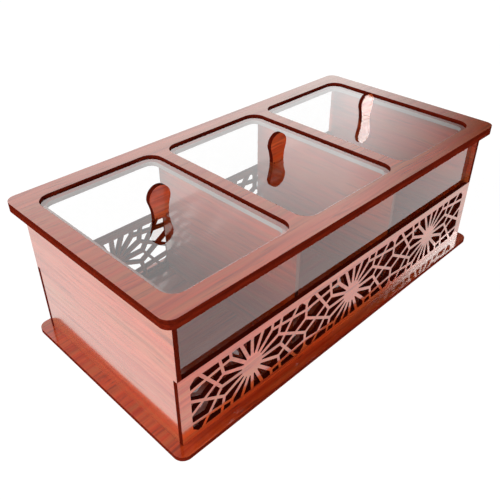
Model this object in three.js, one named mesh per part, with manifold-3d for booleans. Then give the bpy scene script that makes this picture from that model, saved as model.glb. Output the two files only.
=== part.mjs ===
// A three-compartment serving box, cut from flat sheet and glued together, in millimetres with +Z up.
// The long side runs along X, the front faces -Y, and the origin is under the middle of the base plate.
// The box stands on z = 0. Each lid is a clear pane that lies on a ledge and lifts straight up by its tab.
import * as THREE from "three";
import { mergeVertices } from "three/addons/utils/BufferGeometryUtils.js";
import Module from "manifold-3d";

const wasm = await Module();
wasm.setup();

// Sheets.
const woodSheet = 3;
const windowSheet = 3;
const lidSheet = 1.5;
const glueLine = 0.05; // the film of glue, or of air, between two faces that meet
const cutOverrun = 1; // how far a cutter runs past the faces that it cuts

// The base plate and the two layers of the top share one outline.
const plateLength = 300;
const plateDepth = 150;
const plateCornerRadius = 6.5;
const boxHeight = 100;

// The walls stand in from the edge of the plates, less at the right end than at the other three sides.
const wallInset = 7;
const rightWallInset = 4;
const fretworkHeight = 49;

// The top has one opening for each compartment, with a rim round them and a bar between two of them.
const compartmentCount = 3;
const rimWidth = 12;
const barWidth = 9;
const openingCornerRadius = 9.5;
const ledgeWidth = 3.5; // how far the lower layer stands into the opening, to carry the lid
const lidClearance = 0.3; // round the edge of a lid

// The tab of a lid: a round lobe on a neck that stands on the pane, and a tenon glued into a slot in it.
const tabRise = 19;
const lobeRadius = 7.2;
const neckDip = 2.2; // how much narrower the neck's foot is than the lobe, on each side
const tenonWidth = 6;
const slotClearance = 0.15; // round the tenon

// The fretwork: a band along each edge of the panel, and between them one rosette for each compartment.
const bandAbove = 5;
const bandBelow = 4;
const bandAtEnd = 6.5;
const hubRadius = 8;
const spokeWidth = 2.4;
const strutWidth = 2.1;
const cornerFillet = 4.3; // along each side of the field, where a corner is filled in

// The rosette's pattern in one quarter. Each point is given as shares of half the rosette's pitch, across,
// and of half the height of the field, up. Sixteen spokes leave the hub, and the struts tie their ends to
// the bands above and below and to the next rosette.
const spokeEndShares = [
  [0.511, 0],
  [0.472, 0.44],
  [0.346, 0.795],
  [0.18, 1],
  [0, 1],
];
const strutShares = [
  [[0.511, 0], [0.822, 1]],
  [[0.472, 0.44], [1, -0.29]],
  [[0.472, 0.44], [0.522, 1]],
  [[0.346, 0.795], [0.357, 1]],
  [[0.346, 0.795], [1, 0.615]],
  [[1, 0.29], [1, 1]],
];

// How many straight steps a curve takes.
const cornerSteps = 8;
const lobeSteps = 24;
const hubSteps = 32;

// Levels.
const baseTop = woodSheet;
const frameUnderside = boxHeight - woodSheet;
const ledgeUnderside = frameUnderside - woodSheet;
const wallBottom = baseTop + glueLine;
const wallHeight = ledgeUnderside - glueLine - wallBottom;

// Walls, seen from above.
const bodyLeft = -plateLength / 2 + wallInset;
const bodyRight = plateLength / 2 - rightWallInset;
const bodyLength = bodyRight - bodyLeft;
const bodyMiddle = (bodyLeft + bodyRight) / 2;
const bodyDepth = plateDepth - 2 * wallInset;
const windowOuterY = bodyDepth / 2 - woodSheet - glueLine;
const windowInnerY = windowOuterY - windowSheet;

// Openings in the top, from left to right.
const openingLength =
  (plateLength - 2 * rimWidth - (compartmentCount - 1) * barWidth) / compartmentCount;
const openingDepth = plateDepth - 2 * rimWidth;
const openingPitch = openingLength + barWidth;
const ledgeCornerRadius = Math.max(openingCornerRadius - ledgeWidth, lidClearance);
const lidCornerRadius = Math.max(openingCornerRadius - lidClearance, lidClearance);

function openingMiddle(index) {
  return (index - (compartmentCount - 1) / 2) * openingPitch;
}

// Materials.

function wood() {
  return new THREE.MeshStandardMaterial({ color: 0xc4633f, roughness: 0.25, metalness: 0 });
}

function clearSheet() {
  return new THREE.MeshStandardMaterial({
    color: 0xeef2f0,
    roughness: 0.05,
    metalness: 0,
    transparent: true,
    opacity: 0.3,
  });
}

// Outlines.

function roundedRectangle(path, width, height, radius, middleX) {
  const r = Math.min(radius, width / 2, height / 2);
  const right = width / 2 - r;
  const top = height / 2 - r;
  path.absarc(middleX + right, top, r, 0, Math.PI / 2, false);
  path.absarc(middleX - right, top, r, Math.PI / 2, Math.PI, false);
  path.absarc(middleX - right, -top, r, Math.PI, Math.PI * 1.5, false);
  path.absarc(middleX + right, -top, r, Math.PI * 1.5, Math.PI * 2, false);
  path.closePath();
  return path;
}

function polygon(points) {
  return new THREE.Shape(points.map(([x, y]) => new THREE.Vector2(x, y)));
}

function rectangle(left, right, bottom, top) {
  return polygon([
    [left, bottom],
    [right, bottom],
    [right, top],
    [left, top],
  ]);
}

// Sheets cut from an outline. A flat one is drawn from above and stands on z = 0. An upright one is drawn
// as seen from the front, or from the right, and is centred on its own thickness.

function flatSheet(shape, thickness) {
  return new THREE.ExtrudeGeometry(shape, {
    depth: thickness,
    bevelEnabled: false,
    curveSegments: cornerSteps,
  });
}

function uprightSheet(shape, thickness, steps = cornerSteps) {
  const geometry = new THREE.ExtrudeGeometry(shape, {
    depth: thickness,
    bevelEnabled: false,
    curveSegments: steps,
  });
  return geometry.translate(0, 0, -thickness / 2).rotateX(Math.PI / 2);
}

function uprightSideSheet(shape, thickness) {
  return uprightSheet(shape, thickness).rotateZ(Math.PI / 2);
}

// Solids, where pieces are joined and cut.

function solidFrom(geometry) {
  const bare = geometry.clone();
  bare.deleteAttribute("normal");
  bare.deleteAttribute("uv");
  const merged = mergeVertices(bare);
  return new wasm.Manifold(
    new wasm.Mesh({
      numProp: 3,
      vertProperties: merged.attributes.position.array,
      triVerts: new Uint32Array(merged.index.array),
    }),
  );
}

function geometryFrom(solid) {
  const mesh = solid.getMesh();
  const geometry = new THREE.BufferGeometry();
  geometry.setAttribute("position", new THREE.BufferAttribute(mesh.vertProperties, 3));
  geometry.setIndex(new THREE.BufferAttribute(mesh.triVerts, 1));
  geometry.computeVertexNormals();
  return geometry;
}

function joined(solids) {
  return solids.reduce((sum, solid) => sum.add(solid));
}

function piece(name, geometry, material, x, y, z) {
  const mesh = new THREE.Mesh(geometry, material);
  mesh.name = name;
  mesh.position.set(x, y, z);
  return mesh;
}

// The base plate and the two layers of the top.

function platePath() {
  return roundedRectangle(new THREE.Shape(), plateLength, plateDepth, plateCornerRadius, 0);
}

function basePlate() {
  return piece("base_plate", flatSheet(platePath(), woodSheet), wood(), 0, 0, 0);
}

// A layer of the top has its openings drawn in from the full opening by the given width.
function topLayer(name, drawnIn, cornerRadius, underside, thickness) {
  const shape = platePath();
  for (let i = 0; i < compartmentCount; i++) {
    shape.holes.push(
      roundedRectangle(
        new THREE.Path(),
        openingLength - 2 * drawnIn,
        openingDepth - 2 * drawnIn,
        cornerRadius,
        openingMiddle(i),
      ),
    );
  }
  return piece(name, flatSheet(shape, thickness), wood(), 0, 0, underside);
}

function ledgeFrame() {
  const thickness = woodSheet - glueLine;
  return topLayer("ledge_frame", ledgeWidth, ledgeCornerRadius, ledgeUnderside, thickness);
}

function topFrame() {
  return topLayer("top_frame", 0, openingCornerRadius, frameUnderside, woodSheet);
}

// A side panel reaches the front and back faces of the box above the fretwork. Below, it is notched at both
// edges, and the fretwork panels cover it.
function sidePanel(name, middleX) {
  const full = bodyDepth / 2;
  const notched = windowOuterY;
  const notchTop = fretworkHeight + glueLine;
  const shape = polygon([
    [-notched, 0],
    [notched, 0],
    [notched, notchTop],
    [full, notchTop],
    [full, wallHeight],
    [-full, wallHeight],
    [-full, notchTop],
    [-notched, notchTop],
  ]);
  return piece(name, uprightSideSheet(shape, woodSheet), wood(), middleX, 0, wallBottom);
}

// A clear window stands between the side panels, right behind a fretwork panel.
function clearWindow(name, side) {
  const halfLength = bodyLength / 2 - woodSheet - glueLine;
  const shape = rectangle(-halfLength, halfLength, 0, wallHeight);
  const middleY = side * (windowOuterY - windowSheet / 2);
  return piece(name, uprightSheet(shape, windowSheet), clearSheet(), bodyMiddle, middleY, wallBottom);
}

// A divider stands under a bar of the top, from the front window to the back one.
function divider(index) {
  const halfDepth = windowInnerY - glueLine;
  const shape = rectangle(-halfDepth, halfDepth, 0, wallHeight);
  const middleX = (openingMiddle(index) + openingMiddle(index + 1)) / 2;
  const name = "divider_" + (index + 1);
  return piece(name, uprightSideSheet(shape, woodSheet), wood(), middleX, 0, wallBottom);
}

// The fretwork.

const cutDepth = woodSheet + 2 * cutOverrun;
const patternDepth = cutDepth + 2 * cutOverrun;

// A straight bar of the pattern between two points, with square ends that run half its width past them.
function bar([fromX, fromZ], [toX, toZ], width) {
  const along = new THREE.Vector2(toX - fromX, toZ - fromZ).setLength(width / 2);
  const across = new THREE.Vector2(-along.y, along.x);
  const corners = [
    [fromX - along.x - across.x, fromZ - along.y - across.y],
    [toX + along.x - across.x, toZ + along.y - across.y],
    [toX + along.x + across.x, toZ + along.y + across.y],
    [fromX - along.x + across.x, fromZ - along.y + across.y],
  ];
  return solidFrom(uprightSheet(polygon(corners), patternDepth));
}

// The four mirrored places of a point that is given in one quarter. A point on an axis has only two of them.
function mirrorSigns([shareX, shareZ]) {
  const acrossSigns = shareX === 0 ? [1] : [1, -1];
  const upSigns = shareZ === 0 ? [1] : [1, -1];
  return acrossSigns.flatMap((across) => upSigns.map((up) => [across, up]));
}

function rosette(middleX, middleZ, halfPitch, halfHeight) {
  const place = ([shareX, shareZ], [across, up]) => [
    middleX + across * shareX * halfPitch,
    middleZ + up * shareZ * halfHeight,
  ];
  const hubShape = new THREE.Shape().absarc(middleX, middleZ, hubRadius, 0, Math.PI * 2, false);
  const solids = [solidFrom(uprightSheet(hubShape, patternDepth, hubSteps))];
  for (const end of spokeEndShares) {
    for (const signs of mirrorSigns(end)) {
      solids.push(bar([middleX, middleZ], place(end, signs), spokeWidth));
    }
  }
  for (const [from, to] of strutShares) {
    for (const signs of mirrorSigns([1, 1])) {
      solids.push(bar(place(from, signs), place(to, signs), strutWidth));
    }
  }
  for (const [across, up] of mirrorSigns([1, 1])) {
    const [x, z] = place([1, 1], [across, up]);
    const fillet = polygon([
      [x, z],
      [x - across * cornerFillet, z],
      [x, z - up * cornerFillet],
    ]);
    solids.push(solidFrom(uprightSheet(fillet, patternDepth)));
  }
  return joined(solids);
}

// The openwork panel, drawn from the middle of its lower edge: a plain sheet less the field of the pattern,
// but for the rosettes that stay in the field. The outermost struts of the pattern merge with the end bands.
function fretworkGeometry() {
  const halfLength = bodyLength / 2;
  const halfPitch = (halfLength - bandAtEnd) / compartmentCount;
  const halfHeight = (fretworkHeight - bandAbove - bandBelow) / 2;
  const middleZ = bandBelow + halfHeight;
  const fieldEnd = halfLength - bandAtEnd - strutWidth / 2;
  const sheet = rectangle(-halfLength, halfLength, 0, fretworkHeight);
  const field = rectangle(-fieldEnd, fieldEnd, middleZ - halfHeight, middleZ + halfHeight);
  const rosettes = [];
  for (let i = 0; i < compartmentCount; i++) {
    const middleX = (i - (compartmentCount - 1) / 2) * 2 * halfPitch;
    rosettes.push(rosette(middleX, middleZ, halfPitch, halfHeight));
  }
  const holes = solidFrom(uprightSheet(field, cutDepth)).subtract(joined(rosettes));
  return geometryFrom(solidFrom(uprightSheet(sheet, woodSheet)).subtract(holes));
}

function fretwork(name, side) {
  const middleY = side * (bodyDepth - woodSheet) / 2;
  return piece(name, fretworkGeometry(), wood(), bodyMiddle, middleY, wallBottom);
}

// The lids. A lid's group has its origin in the middle of the pane's underside.

// The outline of the tab as seen from the front, with its foot on z = 0 and the tenon below. The neck's two
// hollow arcs are upright at the foot and touch the lobe without a corner.
function tabShape(height, tenonLength) {
  const lobeMiddle = height - lobeRadius;
  const neck = lobeRadius - neckDip;
  const hollowRadius = (lobeMiddle ** 2 + neck ** 2 - lobeRadius ** 2) / (2 * neckDip);
  const hollowMiddle = neck + hollowRadius;
  const touch = Math.atan2(lobeMiddle, hollowMiddle);
  const shape = new THREE.Shape();
  shape.moveTo(tenonWidth / 2, -tenonLength);
  shape.lineTo(tenonWidth / 2, 0);
  shape.absarc(hollowMiddle, 0, hollowRadius, Math.PI, Math.PI - touch, true);
  shape.absarc(0, lobeMiddle, lobeRadius, -touch, Math.PI + touch, false);
  shape.absarc(-hollowMiddle, 0, hollowRadius, touch, 0, true);
  shape.lineTo(-tenonWidth / 2, 0);
  shape.lineTo(-tenonWidth / 2, -tenonLength);
  return shape;
}

// The clear pane, with the slot that the tenon is glued into.
function paneShape() {
  const length = openingLength - 2 * lidClearance;
  const depth = openingDepth - 2 * lidClearance;
  const slotX = tenonWidth / 2 + slotClearance;
  const slotY = woodSheet / 2 + slotClearance;
  const shape = roundedRectangle(new THREE.Shape(), length, depth, lidCornerRadius, 0);
  shape.holes.push(rectangle(-slotX, slotX, -slotY, slotY));
  return shape;
}

function lid(index) {
  const name = "lid_" + (index + 1);
  const pane = flatSheet(paneShape(), lidSheet - glueLine);
  const tab = uprightSheet(tabShape(tabRise - glueLine, lidSheet), woodSheet, lobeSteps);
  const group = new THREE.Group();
  group.position.set(openingMiddle(index), 0, frameUnderside);
  group.add(piece(name + "_pane", pane, clearSheet(), 0, 0, glueLine));
  group.add(piece(name + "_tab", tab, wood(), 0, 0, lidSheet + glueLine));
  return group;
}

// The whole box.

const box = new THREE.Group();
box.add(basePlate());
box.add(sidePanel("left_side_panel", bodyLeft + woodSheet / 2));
box.add(sidePanel("right_side_panel", bodyRight - woodSheet / 2));
box.add(fretwork("front_fretwork", -1));
box.add(fretwork("back_fretwork", 1));
box.add(clearWindow("front_window", -1));
box.add(clearWindow("back_window", 1));
box.add(ledgeFrame());
box.add(topFrame());
for (let i = 0; i < compartmentCount; i++) {
  box.add(lid(i));
  if (i > 0) {
    box.add(divider(i - 1));
  }
}

export default box;
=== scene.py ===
# %% [markdown]
# A serving box with three lidded compartments
#
# The real box is cut from 3 mm sheet by laser and glued: red-brown veneered board with a gloss varnish,
# and clear acrylic for the windows and lids. This lesson gives its finishes to solids that already have
# the right shape and size, and sets up the light and the camera. No piece is modelled again here: a flat
# sheet with square edges is exactly what the solids are.

# %% Load the solids
import math
import bpy
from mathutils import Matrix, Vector


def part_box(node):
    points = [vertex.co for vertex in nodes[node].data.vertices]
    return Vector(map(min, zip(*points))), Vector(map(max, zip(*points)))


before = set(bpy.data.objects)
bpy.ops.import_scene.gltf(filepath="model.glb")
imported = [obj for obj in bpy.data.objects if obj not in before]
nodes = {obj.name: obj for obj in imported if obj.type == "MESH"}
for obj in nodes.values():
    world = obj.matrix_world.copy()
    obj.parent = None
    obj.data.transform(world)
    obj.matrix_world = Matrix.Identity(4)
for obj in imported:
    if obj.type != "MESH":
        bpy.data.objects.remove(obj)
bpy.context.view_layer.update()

# %% [markdown]
# Building a finish
#
# A finish is a small graph of nodes. One could wire up each graph by hand in the shader editor. Here one
# helper adds a node, gives it its settings and wires up its inputs, and another adds a single sum. That keeps
# each graph to a few lines that can be read from top to bottom, and lets several finishes share their parts.

# %% Helpers for node graphs
def add(tree, kind, inputs=None, **settings):
    node = tree.nodes.new(kind)
    for key, value in settings.items():
        setattr(node, key, value)
    for key, value in (inputs or {}).items():
        if isinstance(value, bpy.types.NodeSocket):
            tree.links.new(value, node.inputs[key])
        else:
            node.inputs[key].default_value = value
    return node


def calculate(tree, operation, first, second=0.0):
    return add(tree, "ShaderNodeMath", {0: first, 1: second}, operation=operation).outputs[0]


# %% [markdown]
# Broad face or cut edge
#
# Each piece of this box is a flat sheet. A laser burns the board as it cuts, so every edge is dark and dull,
# while the broad faces keep their varnish. One could give each edge its own material by hand. Here the
# direction of the surface tells them apart instead: a face is broad where its normal lies along the sheet's
# thickness.

# %% Tell broad faces from cut edges
AXIS = {"X": 0, "Y": 1, "Z": 2}
MOSTLY = 0.5  # the least part of the normal along the thickness


def on_broad_face(tree, thickness_axis):
    normal = add(tree, "ShaderNodeNewGeometry").outputs["True Normal"]
    parts = add(tree, "ShaderNodeSeparateXYZ", {0: normal})
    along = calculate(tree, "ABSOLUTE", parts.outputs[AXIS[thickness_axis]])
    return calculate(tree, "GREATER_THAN", along, MOSTLY)


# %% [markdown]
# The grain
#
# Veneer of this kind has soft streaks of lighter, darker and tanner wood, a few millimetres wide, and over
# them short thin dashes that are nearly black: the open pores. A scan of real veneer would show them too, but
# the same streaks would come back on every piece. Here they come from noise that is stretched along the
# grain, so that a step across the grain counts for many steps along it. A slow second noise sways the place
# where the first is read, or the streaks would run as straight as ruled lines. Object coordinates are in
# metres here, so the streaks keep their real size on every piece, and no two pieces show the same ones.

# %% Streaks stretched along the grain
SWAY = (0.0045, 0.0045, 0.0045)  # metres
SWAYS_PER_M = 16.0
NOISE_ROUGHNESS = 0.55  # how much the finer layers of the noise count


def streaks(tree, grain_axis, across_per_m, along_per_m, detail, shift=0.0):
    where = add(tree, "ShaderNodeTexCoord").outputs["Object"]
    slow = add(tree, "ShaderNodeTexNoise", {"Vector": where, "Scale": SWAYS_PER_M, "Detail": 1.0})
    sway = add(tree, "ShaderNodeVectorMath", {0: slow.outputs["Color"], 1: SWAY}, operation="MULTIPLY")
    where = add(tree, "ShaderNodeVectorMath", {0: where, 1: sway.outputs[0]}, operation="ADD").outputs[0]
    stretch = [across_per_m] * 3
    stretch[AXIS[grain_axis]] = along_per_m
    where = add(
        tree,
        "ShaderNodeMapping",
        {"Vector": where, "Scale": stretch, "Location": (shift,) * 3},
    ).outputs[0]
    noise = add(
        tree,
        "ShaderNodeTexNoise",
        {"Vector": where, "Scale": 1.0, "Detail": detail, "Roughness": NOISE_ROUGHNESS},
    )
    return noise.outputs["Fac"]


# %% [markdown]
# From noise to colour
#
# Noise gives each point one number, mostly between 0.3 and 0.7. A ramp turns the number into a colour: one
# colour below its first step, another above its second one, and a blend between the two. A chain of sums
# could do that as well, but the steps of a ramp say at a glance how much of the wood is light and how much
# dark. The same ramp in grey gives a share, by which one kind of wood is laid over another.

# %% Ramps, shares and blends
def grey(level):
    return (level, level, level, 1.0)


def ramp(tree, amount, low, low_colour, high, high_colour):
    node = add(tree, "ShaderNodeValToRGB", {"Fac": amount})
    first, last = node.color_ramp.elements
    first.position, first.color = low, low_colour
    last.position, last.color = high, high_colour
    return node.outputs["Color"]


def share_above(tree, amount, low, high, most):
    return ramp(tree, amount, low, grey(0.0), high, grey(most))


def blend(tree, share, first, second, blend_type="MIX"):
    inputs = {0: share, 6: first, 7: second}
    return add(tree, "ShaderNodeMix", inputs, data_type="RGBA", blend_type=blend_type).outputs[2]


# Used for painted shade: a colour multiplied by a grey.
def darken(tree, colour, painted_shade):
    return blend(tree, 1.0, colour, grey(painted_shade), "MULTIPLY")


# %% [markdown]
# The colour of the wood
#
# The wood is a strong orange red, but it looks pink wherever the varnish mirrors the white room, and its own
# colour shows only where it mirrors something dark, such as the foot of a wall that mirrors the base. One
# could mix the pink into the wood, but then it would stay pink from every side. So the colours below are
# deep, and the paleness comes later, from the varnish alone. Tan bands, dark lines and dark dashes lie over
# the light and dark wood, from the broadest to the finest.

# %% The veneer's colour
LIGHT_WOOD = (0.66, 0.080, 0.015, 1.0)
DARK_WOOD = (0.42, 0.030, 0.004, 1.0)
TAN_WOOD = (0.50, 0.105, 0.028, 1.0)
PORE = (0.10, 0.014, 0.008, 1.0)
DARK_BELOW = 0.34
LIGHT_ABOVE = 0.66


def veneer_colour(tree, grain_axis):
    fine = streaks(tree, grain_axis, across_per_m=330.0, along_per_m=7.0, detail=4.0, shift=3.7)
    bands = streaks(tree, grain_axis, across_per_m=170.0, along_per_m=6.0, detail=2.0)
    lines = streaks(tree, grain_axis, across_per_m=210.0, along_per_m=7.0, detail=3.0, shift=7.9)
    dashes = streaks(tree, grain_axis, across_per_m=700.0, along_per_m=35.0, detail=2.0, shift=11.3)
    band_share = share_above(tree, bands, low=0.42, high=0.64, most=0.85)
    line_share = share_above(tree, lines, low=0.56, high=0.76, most=0.6)
    dash_share = share_above(tree, dashes, low=0.58, high=0.71, most=0.55)
    wood = ramp(tree, fine, DARK_BELOW, DARK_WOOD, LIGHT_ABOVE, LIGHT_WOOD)
    wood = blend(tree, band_share, wood, TAN_WOOD)
    wood = blend(tree, line_share, wood, PORE)
    wood = blend(tree, dash_share, wood, PORE)
    pores = calculate(tree, "MAXIMUM", line_share, dash_share)
    return wood, fine, pores


# %% [markdown]
# Outside and inside
#
# The walls are glossy outside. Inside they have a softer, satin sheen, since nobody polishes the inside of a
# compartment. The same sheet has one face of each kind. One could split each wall in two, but then it would
# no longer be one sheet. So the place of a point on the box tells them apart: inner faces lie between the
# four outer walls, below the top. The limits reach half a millimetre further, so that a face that lies
# exactly on one of them counts too.

# %% Measure the room between the walls
REACH = 0.0005

left_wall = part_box("left_side_panel")
right_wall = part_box("right_side_panel")
front_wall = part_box("front_fretwork")
back_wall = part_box("back_fretwork")
inner_low = (left_wall[1].x, front_wall[1].y, 0.0)
inner_high = (right_wall[0].x, back_wall[0].y, left_wall[1].z)
print("between the walls, from", inner_low, "to", inner_high)

# %% The faces that look into the compartments
def place_on_box(tree):
    where = add(tree, "ShaderNodeTexCoord").outputs["Object"]
    return add(tree, "ShaderNodeSeparateXYZ", {0: where}).outputs


def inside_the_walls(tree):
    inside = 1.0
    for place, low, high in zip(place_on_box(tree), inner_low, inner_high):
        above = calculate(tree, "GREATER_THAN", place, low - REACH)
        below = calculate(tree, "LESS_THAN", place, high + REACH)
        both = calculate(tree, "MULTIPLY", above, below)
        inside = calculate(tree, "MULTIPLY", both, inside)
    return inside


# %% [markdown]
# Sheen and mirror images
#
# Every polished face mirrors more as the eye comes down towards it, the varnish and the acrylic alike. A
# shader's index of refraction would set that growth. Here it is given as a power of how far the face is
# turned away, because that keeps it calm where one looks straight at it. In a real room the windows and
# lamps are far brighter than white, so a polished face shows them clearly and the box itself only faintly.
# Here the room is no brighter than white, so that nothing burns out, and the image of the box in a polished
# face is dimmed by about a third instead.

# %% Gloss that grows as the eye comes down towards the surface
STEEPNESS = 4.0


def glancing(tree, at_right_angles, growth):
    facing = add(tree, "ShaderNodeLayerWeight", {"Blend": 0.5}).outputs["Facing"]
    steep = calculate(tree, "POWER", facing, STEEPNESS)
    grown = calculate(tree, "MULTIPLY", steep, growth)
    total = calculate(tree, "ADD", grown, at_right_angles)
    return calculate(tree, "MINIMUM", total, 1.0)


# %% How much an image of the box in a polished face is dimmed
MIRROR_DIMMING = 0.36


def in_a_mirror(tree):
    path = add(tree, "ShaderNodeLightPath")
    return calculate(tree, "MULTIPLY", path.outputs["Is Glossy Ray"], MIRROR_DIMMING)


# %% [markdown]
# The varnished outside
#
# Outside, the wood lies under a thin gloss varnish. A shader has a coat for that, which is enough where one
# looks straight at a face. The sheen at a low angle is a second, glossy layer, so that it can follow the
# grain: the varnish fills the pale, dense wood a little better than the dark streaks, and it breaks open at
# the pores. A sheen that was even would wash the grain out. The layer has a faint warm tone, as lacquer has.

# %% Wood under varnish
WOOD = {"Roughness": 0.20, "IOR": 1.5}
COAT_IOR = 1.6
VARNISH_TONE = (1.0, 0.98, 0.925, 1.0)
VARNISH_GROWTH = 1.42
FILM_ON_DARK = 0.88
FILM_ON_LIGHT = 1.12
LOST_AT_PORES = 0.5


def rescale(tree, value, low, high, to_low, to_high):
    ends = {"Value": value, "From Min": low, "From Max": high, "To Min": to_low, "To Max": to_high}
    return add(tree, "ShaderNodeMapRange", ends).outputs[0]


def mix_shaders(tree, share, first, second):
    return add(tree, "ShaderNodeMixShader", {0: share, 1: first, 2: second}).outputs[0]


def under_varnish(tree, colour, relief, fine, pores, varnish_share, dullness):
    coat = {"Coat Weight": varnish_share, "Coat Roughness": dullness, "Coat IOR": COAT_IOR}
    wood = {"Base Color": colour, "Normal": relief, **WOOD, **coat}
    face = add(tree, "ShaderNodeBsdfPrincipled", wood).outputs[0]
    varnish = add(tree, "ShaderNodeBsdfGlossy", {"Color": VARNISH_TONE, "Roughness": dullness}).outputs[0]
    filled = rescale(tree, fine, DARK_BELOW, LIGHT_ABOVE, FILM_ON_DARK, FILM_ON_LIGHT)
    film = calculate(tree, "SUBTRACT", filled, calculate(tree, "MULTIPLY", pores, LOST_AT_PORES))
    share = calculate(tree, "MULTIPLY", glancing(tree, 0.0, VARNISH_GROWTH * varnish_share), film)
    return mix_shaders(tree, share, face, varnish)


# %% [markdown]
# The satin inside
#
# The inner faces are the same veneer with less care taken: a satin film, which blurs what it mirrors a little
# more. One could reuse the varnish with other numbers. It gets its own few lines because its sheen is even,
# and because the veneer is a touch plainer in colour there.

# %% Wood with a satin sheen
INNER_TONE = (0.55, 0.064, 0.012, 1.0)
INNER_TONE_SHARE = 0.15
INNER_WOOD = {"Roughness": 0.14, "IOR": 1.5}
SATIN_DULLNESS = 0.18
SATIN_GROWTH = 3.0


def satin_sheen(tree, colour, relief):
    colour = blend(tree, INNER_TONE_SHARE, colour, INNER_TONE)
    wood = {"Base Color": colour, "Normal": relief, **INNER_WOOD}
    face = add(tree, "ShaderNodeBsdfPrincipled", wood).outputs[0]
    film = {"Color": VARNISH_TONE, "Roughness": SATIN_DULLNESS}
    satin = add(tree, "ShaderNodeBsdfGlossy", film).outputs[0]
    return mix_shaders(tree, glancing(tree, 0.0, SATIN_GROWTH), face, satin)


# %% [markdown]
# Cut edges, outside and inside the box
#
# A cut edge is charred, dark brown and without any sheen, with faint streaks in it. The edges inside the box
# look different in the picture: those of the lower layer of the top, seen through the lids, look pale grey
# inside its openings, and those of the dividers, behind the windows, look pink. Both colours are painted
# light laid over the char: a painted highlight on the edges of the openings, and painted light on the edges
# of the dividers. One could pick out those faces by hand and give them a second material. A distance from
# the middle of the box tells them apart without that.

# %% Measure the rim
RIM = 0.009

outer_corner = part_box("top_frame")[1]
rim_limits = (outer_corner.x - RIM, outer_corner.y - RIM)
print("inside the rim: up to", rim_limits, "from the middle")

# %% Burnt edges
BURNT_EDGE = (0.15, 0.012, 0.004, 1.0)
BURNT_EDGE_DARK = (0.09, 0.007, 0.003, 1.0)
CHAR = {"Roughness": 0.8, "Specular IOR Level": 0.0}


def inside_the_rim(tree):
    inside = [
        calculate(tree, "LESS_THAN", calculate(tree, "ABSOLUTE", place), limit)
        for place, limit in zip(place_on_box(tree), rim_limits)
    ]
    return calculate(tree, "MULTIPLY", *inside)


def cut_edge(tree, grain_axis, painted_edge_shade, painted_light_edge):
    faint = streaks(tree, grain_axis, across_per_m=900.0, along_per_m=60.0, detail=2.0, shift=5.1)
    colour = ramp(tree, faint, 0.35, BURNT_EDGE_DARK, 0.65, BURNT_EDGE)
    # Painted shade: the char is darkened further where little light reaches the edge.
    colour = darken(tree, colour, painted_edge_shade)
    # Painted light: inside the rim the charred colour gives way to a paler painted colour.
    if painted_light_edge:
        colour = blend(tree, inside_the_rim(tree), colour, painted_light_edge)
    return add(tree, "ShaderNodeBsdfPrincipled", {"Base Color": colour, **CHAR}).outputs[0]


# %% [markdown]
# The veneer as one finish
#
# Now the parts come together: on the broad faces wood under varnish or with a satin sheen, on the others a
# burnt edge, and all of it dimmed where it is seen in a polished face. Real grain can be felt with a
# fingernail, but it is too shallow to model, so a faint bump lets the light catch on it instead. One finish
# with a few settings serves every wooden piece, which keeps them looking like one board.

# %% The whole finish
RELIEF = {"Strength": 0.04, "Distance": 0.0002}


def empty_finish(name):
    finish = bpy.data.materials.new(name)
    finish.use_nodes = True
    finish.node_tree.nodes.clear()
    return finish, finish.node_tree


def show(tree, shader):
    add(tree, "ShaderNodeOutputMaterial", {"Surface": shader})


def varnished_veneer(
    name, grain_axis, thickness_axis, painted_light_edge=None,
    varnish_share=1.0, painted_shade=1.0, dullness=0.12, painted_edge_shade=1.0,
):
    finish, tree = empty_finish(name)
    colour, fine, pores = veneer_colour(tree, grain_axis)
    # Painted shade: the whole piece is darkened for the weaker light that falls on it.
    colour = darken(tree, colour, painted_shade)
    relief = add(tree, "ShaderNodeBump", {"Height": fine, **RELIEF}).outputs[0]
    outer = under_varnish(tree, colour, relief, fine, pores, varnish_share, dullness)
    inner = satin_sheen(tree, colour, relief)
    face = mix_shaders(tree, inside_the_walls(tree), outer, inner)
    edge = cut_edge(tree, grain_axis, painted_edge_shade, painted_light_edge)
    sheet = mix_shaders(tree, on_broad_face(tree, thickness_axis), edge, face)
    nothing = add(tree, "ShaderNodeEmission", {"Strength": 0.0}).outputs[0]
    show(tree, mix_shaders(tree, in_a_mirror(tree), sheet, nothing))
    return finish


# %% [markdown]
# Which way the grain runs
#
# The grain runs along the longer side of each wall, along the length of the base and the top, and across the
# tabs. The sheets don't shine alike: the base is a little duller than the walls, the top a little glossier,
# and the small tabs have less varnish, but a smoother one. The base, and the top a touch less, are painted
# darker than the walls: a painted shade for the weaker light on these flat plates. One could give all of
# them the same finish, and the box would look like a single block. The edges of the walls, the top and the
# tabs are painted darker than those of the base and of the top's lower layer: a painted shade for the shade
# under the rim and towards the dark side of the room, over the char that all edges share.

# %% Give the walls their finish
# Painted light for the edges of the dividers, paler than a charred edge.
DIVIDER_EDGE_PAINTED_LIGHT = (0.34, 0.12, 0.085, 1.0)


def dress(finish, *node_names):
    for node_name in node_names:
        materials = nodes[node_name].data.materials
        materials.clear()
        materials.append(finish)
    print(finish.name, "on", ", ".join(node_names))


dress(
    varnished_veneer("veneer_grain_Y_faces_X", "Y", "X", painted_light_edge=DIVIDER_EDGE_PAINTED_LIGHT, painted_edge_shade=0.7),
    "left_side_panel", "right_side_panel", "divider_1", "divider_2",
)
dress(
    varnished_veneer("veneer_grain_X_faces_Y", "X", "Y", painted_edge_shade=0.7),
    "front_fretwork", "back_fretwork",
)

# %% Give the plates and the tabs theirs
# A painted highlight for the inner edges of the ledge's openings.
LEDGE_EDGE_PAINTED_HIGHLIGHT = (0.42, 0.38, 0.36, 1.0)

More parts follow.
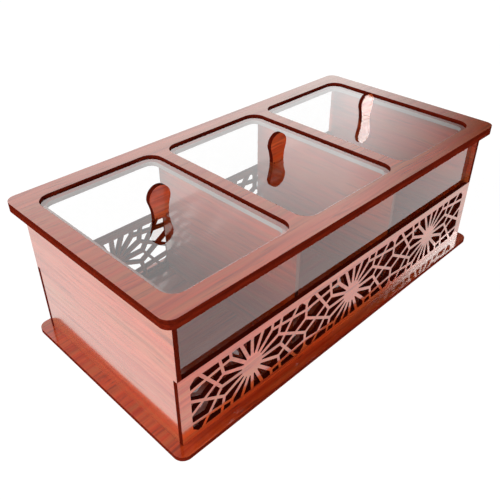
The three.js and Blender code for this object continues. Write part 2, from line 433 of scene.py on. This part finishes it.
dress(varnished_veneer("ledge_veneer", "X", "Z", painted_light_edge=LEDGE_EDGE_PAINTED_HIGHLIGHT), "ledge_frame")
dress(varnished_veneer("base_veneer", "X", "Z", varnish_share=0.75, painted_shade=0.84), "base_plate")
dress(
    varnished_veneer("top_veneer", "X", "Z", varnish_share=1.05, painted_shade=0.95, painted_edge_shade=0.75),
    "top_frame",
)
dress(
    varnished_veneer("tab_veneer", "X", "Y", varnish_share=0.68, dullness=0.05, painted_edge_shade=0.6),
    "lid_1_tab", "lid_2_tab", "lid_3_tab",
)

# %% [markdown]
# Clear acrylic
#
# The windows and lids are polished clear sheet. Sheet this thin hardly moves what is seen through it, so a
# surface that lets light straight through and mirrors a part of it suits them better than one that bends it.
# Only the face by which one looks into the sheet mirrors, or each sheet would mirror twice. Faint broad
# smears in the roughness keep the sheet from looking like empty space. Light on its way to the wood behind
# passes through the sheet too, and how much of it arrives is set for each kind of sheet: nearly all through
# the lids, and less through the windows, which stand behind the fretwork and under the rim of the top.

# %% What the sheet lets through
WHITE = grey(1.0)
COOL_WHITE = (0.998, 1.0, 0.999, 1.0)


def light_for_wood(tree):
    path = add(tree, "ShaderNodeLightPath")
    return calculate(tree, "MAXIMUM", path.outputs["Is Shadow Ray"], path.outputs["Is Diffuse Ray"])


def see_through(tree, light_let_in):
    clouds = streaks(tree, "X", across_per_m=12.0, along_per_m=12.0, detail=1.0, shift=6.0)
    tint = ramp(tree, clouds, 0.3, COOL_WHITE, 0.7, WHITE)
    tint = blend(tree, light_for_wood(tree), tint, grey(light_let_in))
    return add(tree, "ShaderNodeBsdfTransparent", {"Color": tint}).outputs[0]


# %% What the sheet mirrors, and the whole finish
MOST_SMEARED = 0.02  # roughness
LET_PAST = 0.6  # how much of the mirroring is left out for light on its way to the wood


def clear_acrylic(name, at_right_angles, growth, light_let_in):
    finish, tree = empty_finish(name)
    through = see_through(tree, light_let_in)
    smears = streaks(tree, "X", across_per_m=30.0, along_per_m=30.0, detail=2.0, shift=1.9)
    roughness = rescale(tree, smears, 0.4, 0.7, 0.0, MOST_SMEARED)
    mirror = add(tree, "ShaderNodeBsdfGlossy", {"Color": WHITE, "Roughness": roughness}).outputs[0]
    from_inside = add(tree, "ShaderNodeNewGeometry").outputs["Backfacing"]
    let_past = calculate(tree, "MULTIPLY", light_for_wood(tree), LET_PAST)
    share = glancing(tree, at_right_angles, growth)
    for left_out in (from_inside, in_a_mirror(tree), let_past):
        share = calculate(tree, "MULTIPLY", share, calculate(tree, "SUBTRACT", 1.0, left_out))
    show(tree, mix_shaders(tree, share, through, mirror))
    return finish


# %% Give the clear pieces their finish
dress(
    clear_acrylic("polished_acrylic", at_right_angles=0.125, growth=2.55, light_let_in=0.95),
    "lid_1_pane", "lid_2_pane", "lid_3_pane",
)
dress(clear_acrylic("front_acrylic", at_right_angles=0.11, growth=1.5, light_let_in=0.7), "front_window")
dress(clear_acrylic("back_acrylic", at_right_angles=0.04, growth=0.6, light_let_in=0.6), "back_window")

# %% [markdown]
# The floor
#
# A plain white floor. The box stands on white in the picture, with no horizon, so the floor is large and most
# of its white is a glow of its own: a little stronger for the eye, so that it meets the white behind it, and
# a little weaker in polished faces. The rest is lit by the lamps, which keeps the soft shadow round the foot
# of the box. A floor that was only lit would need so much light that the box itself would burn out.

# %% White paper with a glow
PAPER = grey(0.12)
GLOW = 0.78
MORE_FOR_THE_EYE = 0.185
LESS_FOR_MIRRORS = -0.09


def white_floor():
    finish, tree = empty_finish("white_floor")
    path = add(tree, "ShaderNodeLightPath")
    for_mirrors = calculate(tree, "MULTIPLY", path.outputs["Is Glossy Ray"], LESS_FOR_MIRRORS)
    for_the_eye = calculate(tree, "MULTIPLY", path.outputs["Is Camera Ray"], MORE_FOR_THE_EYE)
    glow = calculate(tree, "ADD", calculate(tree, "ADD", for_mirrors, for_the_eye), GLOW)
    paper = add(tree, "ShaderNodeBsdfDiffuse", {"Color": PAPER}).outputs[0]
    white = add(tree, "ShaderNodeEmission", {"Color": WHITE, "Strength": glow}).outputs[0]
    show(tree, add(tree, "ShaderNodeAddShader", {0: paper, 1: white}).outputs[0])
    return finish


# %% The floor itself
HALF_WIDTH = 12.0
JUST_BELOW = -0.0002

corners = [(x * HALF_WIDTH, y * HALF_WIDTH, 0.0) for x, y in ((-1, -1), (1, -1), (1, 1), (-1, 1))]
floor_mesh = bpy.data.meshes.new("floor")
floor_mesh.from_pydata(corners, [], [(0, 1, 2, 3)])
floor_mesh.materials.append(white_floor())
floor = bpy.data.objects.new("floor", floor_mesh)
floor.location.z = JUST_BELOW
bpy.context.scene.collection.objects.link(floor)
print("floor:", 2.0 * HALF_WIDTH, "m wide")

# %% [markdown]
# The light
#
# A white room does most of the work: the varnish mirrors it from the left and from the back. Half way up at
# the right it has a large dark patch with a soft rim, so that the right end of the top keeps the deep colour
# of the wood. Close to the floor the room is pale all round, or the lids would look black from the left at
# the back. A picture of a real room would bring all that along too, but not where this box needs it. The
# room lights the box gently, and the eye itself sees plain white behind the box.

# %% The white room with its dark side
DARK_SIDE = (0.894, -0.290, 0.342)
DARK_WITHIN = 0.79  # cosines of the angle from the middle of the patch
WHITE_BEYOND = 0.66
DARKEST = 0.01
LOW = 0.15  # sines of the angle above the floor
NO_LONGER_LOW = 0.24
PALE = 0.8

room = bpy.data.worlds.new("white_room")
bpy.context.scene.world = room
room.use_nodes = True
sky = room.node_tree
sky.nodes.clear()
direction = add(sky, "ShaderNodeTexCoord").outputs["Generated"]
towards = add(sky, "ShaderNodeVectorMath", {0: direction, 1: DARK_SIDE}, operation="DOT_PRODUCT")
lit_side = rescale(sky, towards.outputs["Value"], DARK_WITHIN, WHITE_BEYOND, DARKEST, 1.0)
height = add(sky, "ShaderNodeSeparateXYZ", {0: direction}).outputs[2]
low_down = rescale(sky, height, NO_LONGER_LOW, LOW, 0.0, PALE)
white_part = calculate(sky, "MAXIMUM", lit_side, low_down)
print("the room is darkest towards", DARK_SIDE)

# %% What the room shows the eye, the polished faces and the rest
FILL = 0.24


def white_light(strength):
    return add(sky, "ShaderNodeBackground", {"Color": WHITE, "Strength": strength}).outputs[0]


path = add(sky, "ShaderNodeLightPath")
lighting = white_light(calculate(sky, "MULTIPLY", white_part, FILL))
unseen = mix_shaders(sky, path.outputs["Is Glossy Ray"], lighting, white_light(white_part))
seen = mix_shaders(sky, path.outputs["Is Camera Ray"], unseen, white_light(1.0))
add(sky, "ShaderNodeOutputWorld", {"Surface": seen})
print("the room lights the box with", FILL, "of its white")

# %% [markdown]
# The lamps
#
# Two large soft lamps, low at the left and the front, make the walls that face them brighter than the top. A
# brighter room would brighten the walls too, but the top as much. The lamps are hidden from polished faces,
# where they would show as bright discs. The small soft box low at the right does the opposite. It shows only
# in the mirror image of a mirror image, which is where the picture has it: on the tabs, by way of the panes,
# and on the base, by way of the fretwork. At the lamp such a path counts as deeper than two.

# %% Soft lamps
AIM = Vector((0.0, 0.0, 0.05))


def soft_lamp(name, place, size, watts, in_mirrors=False):
    lamp = bpy.data.lights.new(name, "AREA")
    lamp.shape = "DISK"
    lamp.size = size
    lamp.energy = watts
    holder = bpy.data.objects.new(name, lamp)
    holder.location = place
    holder.visible_camera = False
    holder.visible_glossy = in_mirrors
    holder.rotation_euler = (AIM - Vector(place)).to_track_quat("-Z", "Y").to_euler()
    bpy.context.scene.collection.objects.link(holder)
    print(name, "at", place, "with", watts, "W")
    return lamp


soft_lamp("left_lamp", (-2.9, 0.5, 1.5), size=2.4, watts=112.0)
soft_lamp("front_lamp", (-0.1, -2.6, 0.42), size=2.0, watts=50.0)

# %% The soft box in the mirror image of a mirror image
DEEPER_THAN = 2.5

soft_box = soft_lamp("soft_box", (1.19, -0.57, 0.67), size=0.42, watts=5.7, in_mirrors=True)
soft_box.use_nodes = True
glow = soft_box.node_tree
glow.nodes.clear()
depth = add(glow, "ShaderNodeLightPath").outputs["Ray Depth"]
twice_mirrored = calculate(glow, "GREATER_THAN", depth, DEEPER_THAN)
shine = add(glow, "ShaderNodeEmission", {"Color": WHITE, "Strength": twice_mirrored}).outputs[0]
add(glow, "ShaderNodeOutputLight", {"Surface": shine})
print("the soft box shows beyond a depth of", DEEPER_THAN)

# %% [markdown]
# The camera
#
# The picture looks down at the box from beyond its left front corner, along a line that makes equal angles
# with all three of its edges, through a lens that takes in 45 degrees. One could turn a camera by eye until
# the picture fits. Since the direction has a plain formula, it is written as one, and only the place was
# fitted.

# %% The camera
CAMERA_PLACE = (-0.26196, -0.23764, 0.27668)

lens = bpy.data.cameras.new("camera")
lens.sensor_fit = "HORIZONTAL"
lens.angle = math.radians(45.0)
camera = bpy.data.objects.new("camera", lens)
camera.location = CAMERA_PLACE
camera.rotation_euler = (math.atan(math.sqrt(2.0)), 0.0, math.radians(-45.0))
bpy.context.scene.collection.objects.link(camera)
bpy.context.scene.camera = camera
bpy.context.scene.view_settings.view_transform = "Standard"
print("camera at", CAMERA_PLACE)
